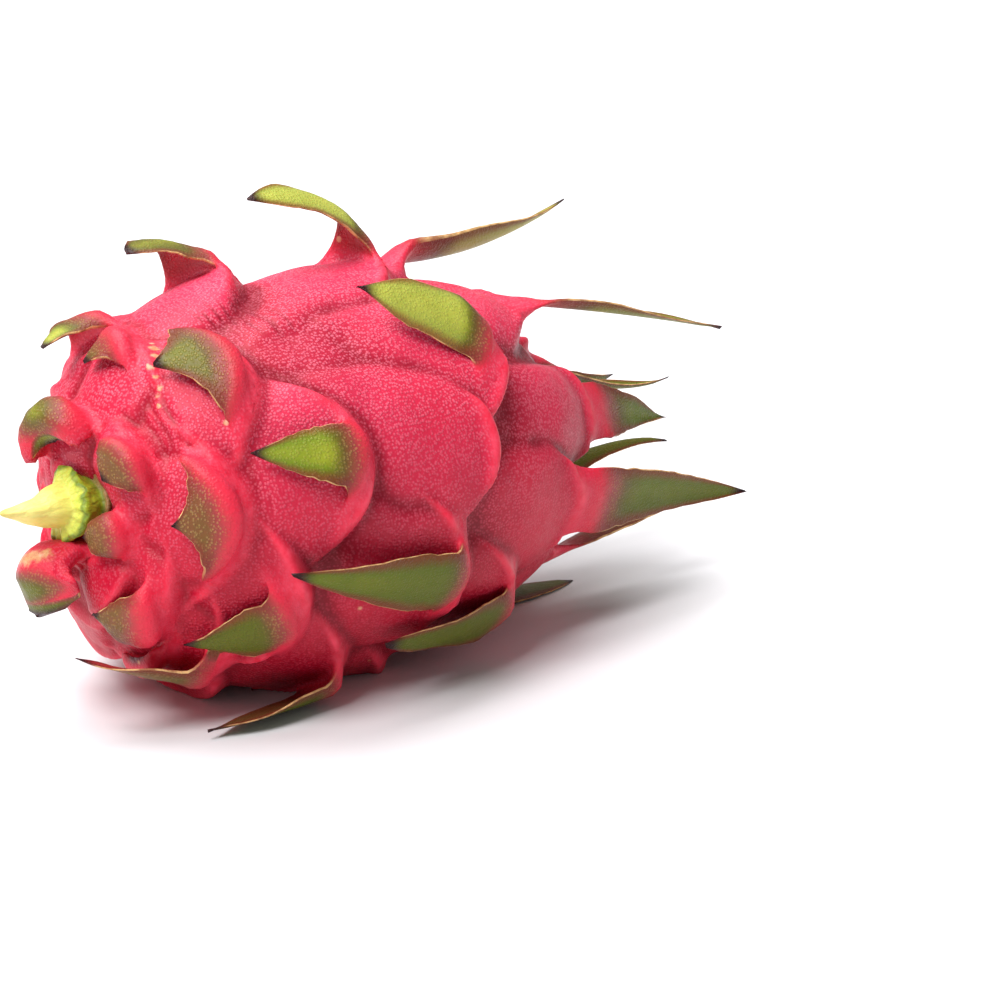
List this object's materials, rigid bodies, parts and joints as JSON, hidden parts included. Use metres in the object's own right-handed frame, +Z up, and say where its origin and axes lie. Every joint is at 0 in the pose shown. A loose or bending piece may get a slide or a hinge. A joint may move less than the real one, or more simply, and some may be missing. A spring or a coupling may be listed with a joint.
{
  "type": "dragon fruit",
  "caption": "Whole red pitaya lying on its side: plump skin covered in leafy scales that curl back, a torn stem stub at one end and a withered flower base at the other.",
  "frame": {"origin": "centre of the bounding box's bottom face, on the surface that the fruit rests on", "axes": "+X along the fruit from its stem to its flower end, +Z up; -Y is the side that the picture shows with the stem end to the left"},
  "size_m": [0.2182, 0.1122, 0.1121],
  "materials": {
    "skin": "satin pinkish red skin, stippled paler, scales shading through brown to green with dark tips",
    "stem": "torn pale yellow-green stem with papery brown edges",
    "withered_flower": "dry tan tissue with a dark brown hollow"
  },
  "bodies": {
    "root": {"fruit": "skin", "stem_stub": "stem", "flower_remnant": "withered_flower"}
  },
  "joints": []
}
